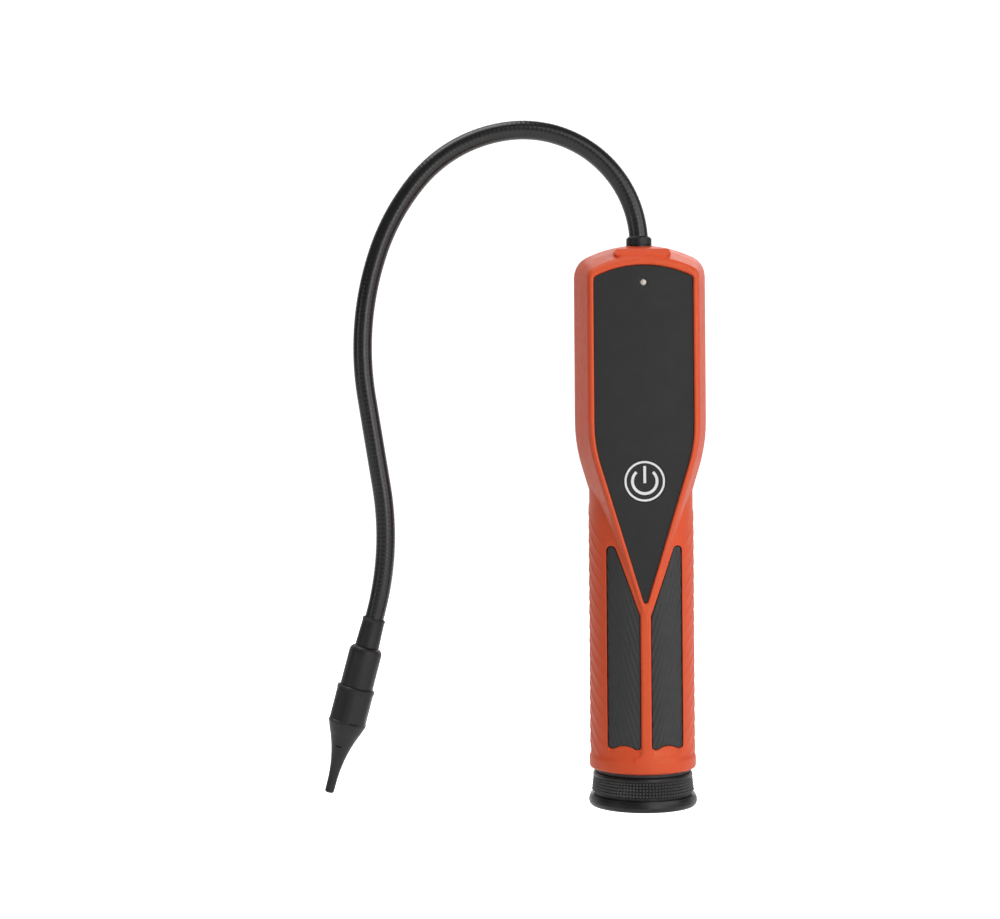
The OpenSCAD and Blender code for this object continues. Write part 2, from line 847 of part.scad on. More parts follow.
// One run stops short of both its ends, and a band bridges each pair of runs so that they fuse
band_l = 0.8;
band_over = 0.03;
module neck_run(i, extra) {
    s = neck_state(i);
    run = NECK[i];
    side = sign(run[1]);
    stop = band_l / 4;
    translate([s[0][0], s[0][1]])
        rotate(s[1])
            if (run[1] == 0)
                translate([stop, 0])
                    rotate([0, 90, 0])
                        linear_extrude(run[0] - 2 * stop + extra)
                            children();
            else
                translate([0, side * run[0]])
                    rotate((side > 0 ? -90 : 90 + run[1]) + stop / run[0] * 180 / PI)
                        rotate_extrude(angle = abs(run[1]) - 2 * stop / run[0] * 180 / PI, $fn = 96)
                            translate([run[0], 0])
                                children();
}
module neck_section(out_r, in_r) {
    difference() {
        circle(out_r);
        if (in_r > 0)
            circle(in_r);
    }
}
module neck_sweep(out_r, in_r, extra) {
    last = len(NECK) - 1;
    rotate([90, 0, 0])
        for (i = [0:last]) {
            neck_run(i, i == last ? extra : 0)
                neck_section(out_r, in_r);
            if (i > 0)
                translate(neck_state(i)[0])
                    rotate(neck_state(i)[1])
                        rotate([0, 90, 0])
                            translate([0, 0, -band_l / 2])
                                linear_extrude(band_l)
                                    neck_section(out_r + band_over, in_r - band_over);
        }
}
core_r = neck_d / 2 - sleeve_wall - fit / 4;
neck_in = end_l - 3;
module gooseneck_sleeve() {
    color([0.2, 0.2, 0.2])
        neck_sweep(neck_d / 2, neck_d / 2 - sleeve_wall, neck_in);
}
module gooseneck_core() {
    color([0.55, 0.55, 0.57])
        neck_sweep(core_r, core_r - core_wall, neck_in);
}
lead_bend = 5;
lead_z = tube_top + connector_rise;
module sensor_lead() {
    straight_r = lead_d / 2 + band_over;
    plug_y = board_rear + connector_t;
    color([0.75, 0.7, 0.6]) {
        neck_sweep(lead_d / 2, 0, neck_in + 5);
        translate([0, 0, lead_z + lead_bend - band_l / 2])
            cylinder(r = straight_r, h = neck_low - lead_z - lead_bend + over);
        translate([0, -lead_bend, lead_z + lead_bend])
            rotate([90, 0, 90])
                rotate([0, 0, -90])
                    rotate_extrude(angle = 90)
                        translate([lead_bend, 0])
                            circle(d = lead_d);
        front_bar(0, lead_z, plug_y, band_l / 2 - lead_bend - plug_y, straight_r);
    }
}

// Ferrule that grips the neck in the head's top, and its nut inside
nut_t = 4;
nut_r = stem_r + 2.6;
nut_top = shield_top(1 - grow(boot_wall + room_in)) - 1.2;
module neck_ferrule() {
    bore = neck_d / 2 + fit;
    color([0.14, 0.14, 0.14])
        rotate_extrude()
            polygon([
                [bore, neck_low], [stem_r, neck_low], [stem_r, ferrule_z],
                [ferrule_d / 2, ferrule_z], [ferrule_d / 2, ferrule_z + ferrule_h - 0.8],
                [ferrule_d / 2 - 0.8, ferrule_z + ferrule_h], [bore, ferrule_z + ferrule_h]
            ]);
}
module neck_nut() {
    color("silver")
        translate([0, 0, nut_top - nut_t])
            difference() {
                cylinder(r = nut_r, h = nut_t, $fn = 6);
                translate([0, 0, -over])
                    cylinder(r = stem_r + fit / 2, h = nut_t + 2 * over);
            }
}

// Probe head along its own axis: local Z runs back up the neck from the end of its last bend
module at_probe() {
    translate([neck_end[0][0], 0, neck_end[0][1]])
        rotate([0, probe_lean, 0])
            children();
}
socket_z = -end_l;
cover_z = socket_z - socket_l - fit;
spigot_l = 8;
spigot_r = cover_d / 2 - 1.9;
pin_l = 5;
sensor_l = 12;
spigot_z = cover_z - spigot_l;
pins = 3;
pin_r = 0.45;
pin_out = 2.4;

module neck_end_sleeve() {
    bore = neck_d / 2 + fit;
    color([0.16, 0.16, 0.17])
        at_probe()
            rotate_extrude()
                polygon([
                    [bore, 0], [end_d / 2 - 0.4, 0], [end_d / 2, -0.6], [end_d / 2 - 0.2, -1.8],
                    [end_d / 2 + 0.2, -end_l], [lead_d / 2 + fit, -end_l],
                    [lead_d / 2 + fit, -neck_in - fit], [bore, -neck_in - fit]
                ]);
}
module sensor_pins(r) {
    for (i = [0:pins - 1])
        rotate([0, 0, 360 * i / pins])
            translate([pin_out, 0, spigot_z])
                cylinder(r = r, h = pin_l);
}
module sensor_socket() {
    shoulder = 3;
    color([0.17, 0.17, 0.18])
        at_probe()
            difference() {
                rotate_extrude()
                    polygon(concat(
                        [[0, spigot_z], [spigot_r, spigot_z], [spigot_r, cover_z + fit]],
                        [[socket_d / 2, cover_z + fit]],
                        arc([socket_d / 2 - shoulder, socket_z - shoulder], shoulder, 0, 90, 5),
                        [[0, socket_z]]
                    ));
                translate([0, 0, -neck_in - 5 - fit])
                    cylinder(r = lead_d / 2 + fit, h = neck_in);
                translate([0, 0, -fit])
                    sensor_pins(pin_r + fit / 2, $fn = 24);
                translate([0, 0, fit])
                    sensor_pins(pin_r + fit / 2, $fn = 24);
            }
}
module sensor() {
    color("silver")
        at_probe() {
            translate([0, 0, spigot_z - sensor_l])
                difference() {
                    cylinder(d = sensor_d, h = sensor_l);
                    translate([0, 0, -over])
                        cylinder(d = sensor_d - 2, h = 2 + over);
                }
            sensor_pins(pin_r, $fn = 24);
        }
}

// Nozzle cover: a fluted barrel that slides off the socket's spigot, then a concave flare to the tip
cover_r = cover_d / 2;
cover_bore = spigot_r + 0.3;
nozzle_z = cover_z - cover_l;
tip_z = nozzle_z - nozzle_l;
flare_low = tip_d / 2 + 0.05;
flare_drop = sqrt(pow(flare_r, 2) - pow(flare_r + flare_low - cover_r, 2));
flute_r = 18;
flute_depth = 0.8;
flute_turn = -5;
slit_w = 2.8;
slit_h = 0.5;
slit_drop = 10;
slit_turn = 12;
function flare(r_cut, n) = [
    for (i = [0:n])
        let (a = asin(flare_drop / flare_r) * (1 - i / n))
        [flare_low + flare_r * (1 - cos(a)) - r_cut, nozzle_z - flare_drop + flare_r * sin(a)]
];
module sensor_cover() {
    wall = cover_r - cover_bore;
    color([0.18, 0.18, 0.19])
        at_probe()
            difference() {
                rotate_extrude()
                    polygon(concat(
                        [[0, cover_z], [cover_r - 0.5, cover_z], [cover_r, cover_z - 0.5]],
                        [[cover_r, nozzle_z + 0.8]],
                        [for (p = flare(0, 10)) if (p[1] < nozzle_z - 0.4) p],
                        [[tip_d / 2, tip_z + 0.5], [tip_d / 2 - 0.4, tip_z], [0, tip_z]]
                    ));
                rotate_extrude()
                    polygon(concat(
                        [[0, cover_z + over], [cover_bore, cover_z + over], [cover_bore, nozzle_z + 2]],
                        [for (p = flare(wall, 10)) if (p[0] > tip_hole / 2) p],
                        [[tip_hole / 2, tip_z + 8], [tip_hole / 2, tip_z - over], [0, tip_z - over]]
                    ));
                rotate([0, 0, -slit_turn])
                    translate([-slit_w / 2, -cover_r, nozzle_z - slit_drop])
                        cube([slit_w, cover_r, slit_h]);
                for (i = [0:flute_count - 1])
                    rotate([0, 0, 360 * i / flute_count + flute_turn])
                        translate([cover_r + flute_r - flute_depth, 0, nozzle_z + 1.2])
                            rotate_extrude($fn = 128)
                                polygon([
                                    [0, 0], [flute_r - flute_depth, 0], [flute_r, flute_depth],
                                    [flute_r, cover_l - 3], [0, cover_l - 3]
                                ]);
            }
}

boot();
front_shell();
rear_shell();
label_overlay();
left_grip_insert();
right_grip_insert();
power_button();
switch_plunger();
tactile_switch();
indicator_lamp();
circuit_board();
control_chip();
sounder();
lead_connector();
battery_leads();
battery_tube();
upper_battery();
lower_battery();
positive_contact();
negative_strip();
battery_spring();
cap_contact();
battery_cap();
cap_seal();
neck_ferrule();
neck_nut();
gooseneck_core();
gooseneck_sleeve();
sensor_lead();
neck_end_sleeve();
sensor_socket();
sensor();
sensor_cover();
housing_screws();
board_screws();
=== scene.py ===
# Refrigerant leak detector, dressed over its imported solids. Metres, +Z up, the label faces -Y.
import math

import bpy
from mathutils import Matrix, Vector


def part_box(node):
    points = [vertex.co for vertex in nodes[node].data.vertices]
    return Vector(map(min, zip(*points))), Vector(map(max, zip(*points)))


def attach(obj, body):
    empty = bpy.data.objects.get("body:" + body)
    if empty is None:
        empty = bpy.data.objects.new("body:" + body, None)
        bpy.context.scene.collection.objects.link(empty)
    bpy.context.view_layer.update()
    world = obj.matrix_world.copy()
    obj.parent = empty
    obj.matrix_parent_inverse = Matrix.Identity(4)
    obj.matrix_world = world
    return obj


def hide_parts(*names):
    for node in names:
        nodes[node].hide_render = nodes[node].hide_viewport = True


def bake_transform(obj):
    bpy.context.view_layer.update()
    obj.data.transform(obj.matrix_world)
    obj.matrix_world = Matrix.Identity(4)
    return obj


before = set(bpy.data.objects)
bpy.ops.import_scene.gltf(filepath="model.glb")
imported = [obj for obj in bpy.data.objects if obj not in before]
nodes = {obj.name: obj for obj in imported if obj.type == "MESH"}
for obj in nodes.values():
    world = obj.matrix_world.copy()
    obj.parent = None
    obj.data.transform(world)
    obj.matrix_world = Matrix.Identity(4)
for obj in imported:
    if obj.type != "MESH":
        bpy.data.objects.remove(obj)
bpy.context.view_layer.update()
MM = 0.001

# Camera. It stands level before the label at the distance of the photograph, and is rolled by the
# small lean that the object has there.
CAMERA_PLACE = (-63.2 * MM, -800 * MM, 155.1 * MM)
CAMERA_LEAN = 0.0075
CAMERA_SENSOR = 36
CAMERA_LENS = 64
camera_lens = bpy.data.cameras.new("camera")
camera_lens.sensor_width = CAMERA_SENSOR
camera_lens.lens = CAMERA_LENS
camera = bpy.data.objects.new("camera", camera_lens)
camera.location = CAMERA_PLACE
camera.rotation_euler = (math.radians(90), CAMERA_LEAN, 0)
bpy.context.scene.collection.objects.link(camera)
bpy.context.scene.camera = camera
bpy.context.scene.view_settings.view_transform = "Standard"

# Studio. A wide white sheet lies under the object and rises far behind it, in a dim white room. It lies
# lower than the unscrewed cap. The camera sees it as plain white and gloss sees it dimmer.
SHEET_SIZE = 12
SHEET_BACK = 3
SHEET_DROP = 0.012
SHEET_WHITE = (0.82, 0.82, 0.82, 1)
SHEET_GLOSS = 0.7
bpy.ops.object.select_all(action="DESELECT")
bpy.ops.mesh.primitive_plane_add(size=SHEET_SIZE, location=(0, SHEET_BACK - SHEET_SIZE / 2, -SHEET_DROP))
sheet = bpy.context.object
sheet.name = "studio_sheet"
bpy.ops.object.mode_set(mode="EDIT")
bpy.ops.mesh.select_mode(type="EDGE")
bpy.ops.mesh.select_all(action="DESELECT")
bpy.ops.object.mode_set(mode="OBJECT")
for edge in sheet.data.edges:
    edge.select = all(sheet.data.vertices[v].co.y > 0 for v in edge.vertices)
bpy.ops.object.mode_set(mode="EDIT")
bpy.ops.mesh.extrude_region_move(TRANSFORM_OT_translate={"value": (0, 0, SHEET_SIZE / 2)})
bpy.ops.object.mode_set(mode="OBJECT")
paper = bpy.data.materials.new("white_paper")
paper.use_nodes = True
paper_nodes = paper.node_tree.nodes
paper_links = paper.node_tree.links
paper_nodes.clear()
paper_seen = paper_nodes.new("ShaderNodeLightPath")
paper_shade = paper_nodes.new("ShaderNodeBsdfDiffuse")
paper_shade.inputs["Color"].default_value = SHEET_WHITE
paper_lift = paper_nodes.new("ShaderNodeEmission")
paper_gloss = paper_nodes.new("ShaderNodeMath")
paper_gloss.operation = "MULTIPLY"
paper_gloss.inputs[1].default_value = SHEET_GLOSS
paper_part = paper_nodes.new("ShaderNodeMath")
paper_part.operation = "MAXIMUM"
paper_sum = paper_nodes.new("ShaderNodeAddShader")
paper_out = paper_nodes.new("ShaderNodeOutputMaterial")
paper_links.new(paper_seen.outputs["Is Glossy Ray"], paper_gloss.inputs[0])
paper_links.new(paper_seen.outputs["Is Camera Ray"], paper_part.inputs[0])
paper_links.new(paper_gloss.outputs[0], paper_part.inputs[1])
paper_links.new(paper_part.outputs[0], paper_lift.inputs["Strength"])
paper_links.new(paper_shade.outputs[0], paper_sum.inputs[0])
paper_links.new(paper_lift.outputs[0], paper_sum.inputs[1])
paper_links.new(paper_sum.outputs[0], paper_out.inputs["Surface"])
sheet.data.materials.append(paper)

ROOM_LIGHT = 0.14
room = bpy.data.worlds.new("white_room")
bpy.context.scene.world = room
room.use_nodes = True
room_nodes = room.node_tree.nodes
room_links = room.node_tree.links
room_nodes.clear()
room_seen = room_nodes.new("ShaderNodeLightPath")
room_level = room_nodes.new("ShaderNodeMapRange")
room_level.inputs["To Min"].default_value = ROOM_LIGHT
room_level.inputs["To Max"].default_value = 1
room_shade = room_nodes.new("ShaderNodeBackground")
room_shade.inputs["Color"].default_value = (1, 1, 1, 1)
room_out = room_nodes.new("ShaderNodeOutputWorld")
room_links.new(room_seen.outputs["Is Camera Ray"], room_level.inputs["Value"])
room_links.new(room_level.outputs[0], room_shade.inputs["Strength"])
room_links.new(room_shade.outputs[0], room_out.inputs["Surface"])

# Square lamps: name, place, the point it faces, width in metres and power in watts.
LAMPS = (
    ("key_box", (0.8, -0.5, 0.5), (0, 0, 0.15), 0.7, 3.8),
    ("front_box", (0.3, -1.0, 0.85), (-0.03, 0, 0.15), 0.6, 2.3),
    ("right_box", (0.42, -1.0, 0.28), (-0.05, 0, 0.12), 0.45, 3.0),
    ("left_box", (-0.97, -0.53, 0.3), (-0.1, 0, 0.2), 0.25, 0.55),
    ("top_box", (-0.3, 0.0, 0.95), (-0.05, 0, 0.15), 0.5, 3.2),
    ("back_box", (0.15, 1.2, 0.75), (-0.03, 0, 0.15), 0.8, 4.5),
)
for lamp_name, lamp_place, lamp_aim, lamp_width, lamp_power in LAMPS:
    lamp = bpy.data.lights.new(lamp_name, "AREA")
    lamp.size = lamp_width
    lamp.energy = lamp_power
    holder = bpy.data.objects.new(lamp_name, lamp)
    holder.location = lamp_place
    beam = Vector(lamp_aim) - Vector(lamp_place)
    holder.rotation_euler = beam.to_track_quat("-Z", "Y").to_euler()
    bpy.context.scene.collection.objects.link(holder)

# Battery gear. Two D cells in bare steel cans stand in the handle on a plated spring, with a brass disc at
# each end and a brass strip to the board. The brass is stamped, and the leads are soldered to it.
NOISE_LOW = 0.3
NOISE_HIGH = 0.7
FINE_DETAIL = 2.0
LINE_SIZE = 1.2
LINE_DETAIL = 4.0
LINE_SHADE = 0.86
LINE_SMOOTHER = 0.06
LINE_ROUGHER = 0.1
SCRATCH_SIZE = 0.4
SCRATCH_DEPTH = 0.01
DRAWN_UP = (1, 1, 0.05)


def shader_of(material):
    """A material's Principled shader."""
    return material.node_tree.nodes["Principled BSDF"]


def plain_shader(name, colour, roughness, metallic=0.0):
    """A new material with one Principled shader, its own colour and gloss."""
    made = bpy.data.materials.new(name)
    made.use_nodes = True
    gloss = shader_of(made)
    gloss.inputs["Base Color"].default_value = (*colour, 1)
    gloss.inputs["Roughness"].default_value = roughness
    gloss.inputs["Metallic"].default_value = metallic
    return made, gloss


def cloud(made, size, detail, stretch=(1, 1, 1)):
    """A noise on Object coordinates, with spots of a size in millimetres. Returns its value socket."""
    tree = made.node_tree
    place = tree.nodes.new("ShaderNodeTexCoord")
    turn = tree.nodes.new("ShaderNodeMapping")
    turn.inputs["Scale"].default_value = stretch
    noise = tree.nodes.new("ShaderNodeTexNoise")
    noise.inputs["Scale"].default_value = 1 / (size * MM)
    noise.inputs["Detail"].default_value = detail
    tree.links.new(place.outputs["Object"], turn.inputs["Vector"])
    tree.links.new(turn.outputs["Vector"], noise.inputs["Vector"])
    return noise.outputs["Fac"]


def spread(made, value, low, high, socket):
    """Leads a noise into a shader's number socket, between two numbers."""
    tree = made.node_tree
    span = tree.nodes.new("ShaderNodeMapRange")
    span.inputs["From Min"].default_value = NOISE_LOW
    span.inputs["From Max"].default_value = NOISE_HIGH
    span.inputs["To Min"].default_value = low
    span.inputs["To Max"].default_value = high
    tree.links.new(value, span.inputs["Value"])
    tree.links.new(span.outputs[0], socket)


def tint(made, value, dark, light, socket):
    """Leads a noise into a shader's colour socket, between two colours."""
    tree = made.node_tree
    ramp = tree.nodes.new("ShaderNodeValToRGB")
    ramp.color_ramp.elements[0].position = NOISE_LOW
    ramp.color_ramp.elements[0].color = (*dark, 1)
    ramp.color_ramp.elements[1].position = NOISE_HIGH
    ramp.color_ramp.elements[1].color = (*light, 1)
    tree.links.new(value, ramp.inputs["Fac"])
    tree.links.new(ramp.outputs["Color"], socket)


def rough_skin(made, value, depth, socket):
    """Leads a noise into a shader's normal socket, as bumps of a depth in millimetres."""
    tree = made.node_tree
    bump = tree.nodes.new("ShaderNodeBump")
    bump.inputs["Strength"].default_value = 1
    bump.inputs["Distance"].default_value = depth * MM
    tree.links.new(value, bump.inputs["Height"])
    tree.links.new(bump.outputs["Normal"], socket)


def drawn_metal(name, colour, roughness, stretch=(1, 1, 1)):
    """Plated or drawn metal with fine lines, and gloss that changes a little along them."""
    made, gloss = plain_shader(name, colour, roughness, 1.0)
    lines = cloud(made, LINE_SIZE, LINE_DETAIL, stretch)
    spread(made, lines, roughness - LINE_SMOOTHER, roughness + LINE_ROUGHER, gloss.inputs["Roughness"])
    tint(made, lines, tuple(c * LINE_SHADE for c in colour), colour, gloss.inputs["Base Color"])
    scratches = cloud(made, SCRATCH_SIZE, FINE_DETAIL, stretch)
    rough_skin(made, scratches, SCRATCH_DEPTH, gloss.inputs["Normal"])
    return made


def coat(material, *names):
    """Gives solids of the frame their finish."""
    for name in names:
        solid = nodes[name]
        solid.data.materials.clear()
        solid.data.materials.append(material)


cell_can = drawn_metal("cell_can", colour=(0.42, 0.43, 0.44), roughness=0.32, stretch=DRAWN_UP)
stamped_brass = drawn_metal("stamped_brass", colour=(0.72, 0.52, 0.22), roughness=0.28)
plated_wire = drawn_metal("plated_wire", colour=(0.62, 0.63, 0.64), roughness=0.24)
coat(cell_can, "upper_battery", "lower_battery")
coat(stamped_brass, "positive_contact", "negative_strip", "cap_contact")
spring_coil = bpy.data.objects.new("spring_coil", nodes["battery_spring"].data.copy())
bpy.context.scene.collection.objects.link(spring_coil)
spring_coil.data.materials.clear()
spring_coil.data.materials.append(plated_wire)
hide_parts("battery_spring")
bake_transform(spring_coil)

# Inner housing. Two black moulded half shells are screwed together round the battery tube, and carry the
# head's inside. The mould leaves a fine even grain on them.
MOTTLE_SIZE = 9.0
MOTTLE_DETAIL = 5.0
SHEEN_SIZE = 3.5
SHEEN_DETAIL = 4.0


def moulded(name, tones, roughness, grain=0.35, depth=0.02, specular=0.5):
    """Moulded plastic or rubber: a faint mottle of two tones, uneven gloss and the mould's fine grain."""
    made, gloss = plain_shader(name, tones[1], roughness[1])
    tint(made, cloud(made, MOTTLE_SIZE, MOTTLE_DETAIL), *tones, gloss.inputs["Base Color"])
    spread(made, cloud(made, SHEEN_SIZE, SHEEN_DETAIL), *roughness, gloss.inputs["Roughness"])
    rough_skin(made, cloud(made, grain, FINE_DETAIL), depth, gloss.inputs["Normal"])
    gloss.inputs["Specular IOR Level"].default_value = specular
    return made


SHELL_TONES = ((0.012, 0.012, 0.013), (0.02, 0.02, 0.021))
shell_black = moulded("shell_black", SHELL_TONES, roughness=(0.42, 0.55))
coat(shell_black, "front_shell", "rear_shell", "battery_tube")
coat(plated_wire, "housing_screws", "board_screws", "neck_nut")

# Circuit board. A green lacquered board with its chip, sounder, connector and key switch is screwed to the
# front shell behind the label, and red leads run to the cells.
BOARD_TONES = ((0.012, 0.1, 0.04), (0.02, 0.15, 0.06))
PART_TONES = ((0.016, 0.016, 0.017), (0.03, 0.03, 0.03))
PIN_TONES = ((0.7, 0.7, 0.62), (0.8, 0.8, 0.74))
WIRE_TONES = ((0.24, 0.02, 0.02), (0.32, 0.03, 0.03))
board_green = moulded("board_green", BOARD_TONES, roughness=(0.18, 0.3), grain=0.8, depth=0.01)
part_black = moulded("part_black", PART_TONES, roughness=(0.35, 0.5))
pin_ivory = moulded("pin_ivory", PIN_TONES, roughness=(0.35, 0.45))
wire_red = moulded("wire_red", WIRE_TONES, roughness=(0.35, 0.45))
coat(board_green, "circuit_board")
coat(part_black, "control_chip", "sounder", "tactile_switch", "switch_plunger")
coat(pin_ivory, "lead_connector")
coat(wire_red, "battery_leads")

# Boot. An orange rubber moulding is stretched over the shells. Its edges have the soft rounding of the mould,
# so the solid is copied, cast in fine cells, eased and thinned.
MERGE_GAP = 0.001
BOOT_CELL = 0.4
BOOT_EASE = 2
BOOT_EASE_SHARE = 0.5
BOOT_KEEP = 0.2
ORANGE_TONES = ((0.7, 0.077, 0.0245), (0.73, 0.082, 0.0265))
ORANGE_IOR = 1.36
ORANGE_SHEEN = (1, 0.92, 0.6, 1)
boot = bpy.data.objects.new("boot_moulding", nodes["boot"].data.copy())
bpy.context.scene.collection.objects.link(boot)


def pick(piece):
    """Makes a piece the only one selected, and active."""
    bpy.ops.object.select_all(action="DESELECT")
    piece.select_set(True)
    bpy.context.view_layer.objects.active = piece


def merge(piece):
    """Joins a copied solid's loose triangles into one skin."""
    pick(piece)
    bpy.ops.mesh.customdata_custom_splitnormals_clear()
    bpy.ops.object.mode_set(mode="EDIT")
    bpy.ops.mesh.select_all(action="SELECT")
    bpy.ops.mesh.remove_doubles(threshold=MERGE_GAP * MM)
    bpy.ops.object.mode_set(mode="OBJECT")


def apply_all(piece):
    """Applies a piece's modifiers from the first to the last."""
    pick(piece)
    for step in [m.name for m in piece.modifiers]:
        bpy.ops.object.modifier_apply(modifier=step)


merge(boot)
cast = boot.modifiers.new("cast", "REMESH")
cast.mode = "VOXEL"
cast.voxel_size = BOOT_CELL * MM
ease = boot.modifiers.new("ease", "SMOOTH")
ease.factor = BOOT_EASE_SHARE
ease.iterations = BOOT_EASE
thin = boot.modifiers.new("thin", "DECIMATE")
thin.ratio = BOOT_KEEP
apply_all(boot)
bpy.ops.object.shade_smooth()
orange = moulded("orange_rubber", ORANGE_TONES, roughness=(0.42, 0.52), grain=0.3, depth=0.01, specular=0.8)
shader_of(orange).inputs["IOR"].default_value = ORANGE_IOR
shader_of(orange).inputs["Specular Tint"].default_value = ORANGE_SHEEN
boot.data.materials.clear()
boot.data.materials.append(orange)
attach(boot, "housing")
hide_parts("boot")

# Grips. Two dark rubber inserts are glued into the boot's windows. Fine ribs slope down towards the rib
# between them.
GRIP_CELL = 0.3
GRIP_RADIUS = 22.7
GRIP_PITCH = 2.1
GRIP_SLOPE = math.radians(18)
GRIP_DEPTH = 0.3
GRIP_KEEP = 0.4
GRIP_TONES = ((0.032, 0.033, 0.033), (0.036, 0.037, 0.037))
grip_rubber = moulded("grip_rubber", GRIP_TONES, roughness=(0.48, 0.58), specular=0.3)
for grip_side, grip_node in ((-1, "left_grip_insert"), (1, "right_grip_insert")):
    grip = bpy.data.objects.new(grip_node.replace("insert", "ribs"), nodes[grip_node].data.copy())
    bpy.context.scene.collection.objects.link(grip)
    merge(grip)
    cast = grip.modifiers.new("cast", "REMESH")
    cast.mode = "VOXEL"
    cast.voxel_size = GRIP_CELL * MM
    apply_all(grip)
    for point in grip.data.vertices:
        radius = math.hypot(point.co.x, point.co.y)
        if radius < (GRIP_RADIUS - GRIP_CELL) * MM:
            continue
        arc = GRIP_RADIUS * MM * math.atan2(point.co.x, -point.co.y)
        across = arc * math.cos(GRIP_SLOPE) - grip_side * point.co.z * math.sin(GRIP_SLOPE)
        wave = 0.5 - 0.5 * math.cos(math.tau * across / (GRIP_PITCH * MM))
        sunk = (radius - GRIP_DEPTH * MM * wave) / radius
        point.co.x *= sunk
        point.co.y *= sunk
    thin = grip.modifiers.new("thin", "DECIMATE")
    thin.ratio = GRIP_KEEP
    apply_all(grip)
    bpy.ops.object.shade_smooth()
    grip.data.materials.clear()
    grip.data.materials.append(grip_rubber)
    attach(grip, "housing")
    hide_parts(grip_node)

# Label. A dark grey film with a fine matt skin is stuck to the front shell inside the boot's lip. It carries
# no words.
LABEL_TONES = ((0.014, 0.014, 0.014), (0.017, 0.017, 0.017))
label_film = moulded("label_film", LABEL_TONES, roughness=(0.4, 0.46), grain=0.25, depth=0.004, specular=0.26)
coat(label_film, "label_overlay")

# Power key. The same film covers a round key in the label. The ring and the standby sign are screen-printed
# on it in white.
KEY_RING = (8.85, 7.95)
KEY_RING_STEPS = 96
SIGN_ARC = (6.0, 4.75)
SIGN_ARC_STEPS = 72
SIGN_GAP = math.radians(42)
SIGN_BAR = (1.2, 7.5)
SIGN_BAR_LOW = -0.8
INK = 0.03
INK_TONES = ((0.76, 0.76, 0.76), (0.82, 0.82, 0.82))
coat(label_film, "power_button")
key_low, key_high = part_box("power_button")
key_middle = (key_low + key_high) / 2
key_face = key_low.y
ink_white = moulded("ink_white", INK_TONES, roughness=(0.45, 0.55), grain=0.3, depth=0.003)


def printed_arc(name, outer, inner, start, turn, steps):
    """A flat band of ink, spun about the key's axis from a short edge. Angles run from the top."""
    bpy.ops.object.select_all(action="DESELECT")
    bpy.ops.mesh.primitive_plane_add(size=1, location=(0, 0, 0))
    band = bpy.context.object
    band.name = name
    bpy.ops.object.mode_set(mode="EDIT")
    bpy.ops.mesh.select_all(action="SELECT")
    width = (outer - inner) * MM
    bpy.ops.transform.resize(value=(INK * MM, width, 1))
    bpy.ops.object.mode_set(mode="OBJECT")
    middle = (outer + inner) / 2 * MM
    upright = Matrix.Rotation(math.pi / 2, 4, "Z") @ Matrix.Rotation(math.pi / 2, 4, "X")
    band.data.transform(Matrix.Rotation(start, 4, "Y") @ Matrix.Translation((0, 0, middle)) @ upright)
    band.data.transform(Matrix.Translation((key_middle.x, key_face - INK / 2 * MM, key_middle.z)))
    bpy.ops.object.mode_set(mode="EDIT")
    bpy.ops.mesh.select_all(action="SELECT")
    bpy.ops.mesh.spin(steps=steps, angle=-turn, center=(key_middle.x, 0, key_middle.z), axis=(0, 1, 0))
    bpy.ops.mesh.select_all(action="SELECT")
    bpy.ops.mesh.remove_doubles(threshold=MERGE_GAP * MM)
    bpy.ops.mesh.normals_make_consistent(inside=False)
    bpy.ops.object.mode_set(mode="OBJECT")
    return band


key_ring = printed_arc("key_ring_print", *KEY_RING, 0, math.tau, KEY_RING_STEPS)
key_arc = printed_arc("key_arc_print", *SIGN_ARC, SIGN_GAP, math.tau - 2 * SIGN_GAP, SIGN_ARC_STEPS)
bpy.ops.object.select_all(action="DESELECT")
bpy.ops.mesh.primitive_cube_add(size=1, location=(0, 0, 0))
key_bar = bpy.context.object
key_bar.name = "key_bar_print"
bar_size = Matrix.Diagonal((SIGN_BAR[0] * MM, INK * MM, SIGN_BAR[1] * MM, 1))
bar_z = key_middle.z + (SIGN_BAR_LOW + SIGN_BAR[1] / 2) * MM
key_bar.data.transform(Matrix.Translation((key_middle.x, key_face - INK / 2 * MM, bar_z)) @ bar_size)
for print_piece in (key_ring, key_arc, key_bar):
    print_piece.data.materials.append(ink_white)
    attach(print_piece, "power_key")

# Lamp. A small pale lens under a clear coat stands in its hole at the top of the label.
LENS_TONES = ((0.5, 0.44, 0.38), (0.68, 0.62, 0.56))
LENS_COAT = 0.6
lamp_lens = moulded("lamp_lens", LENS_TONES, roughness=(0.1, 0.2), grain=0.6, depth=0.004)
shader_of(lamp_lens).inputs["Coat Weight"].default_value = LENS_COAT
coat(lamp_lens, "indicator_lamp")

# Battery cap. A black moulded cap with a knurled band and a round foot screws on to the tube, with a rubber
# ring between it and the boot.
CAP_TONES = ((0.008, 0.008, 0.0085), (0.011, 0.011, 0.0115))
SEAL_TONES = ((0.012, 0.012, 0.012), (0.02, 0.02, 0.02))
KNURL_LOW = 6.2
KNURL_HIGH = 12.8
KNURL_TAPER = 0.75
KNURL_RADIUS = 23.05
KNURL_DEPTH = 0.6
# Colour of the painted highlight on the knurl's tips.
TIP_HIGHLIGHT_PAINT = (0.09, 0.09, 0.09, 1)


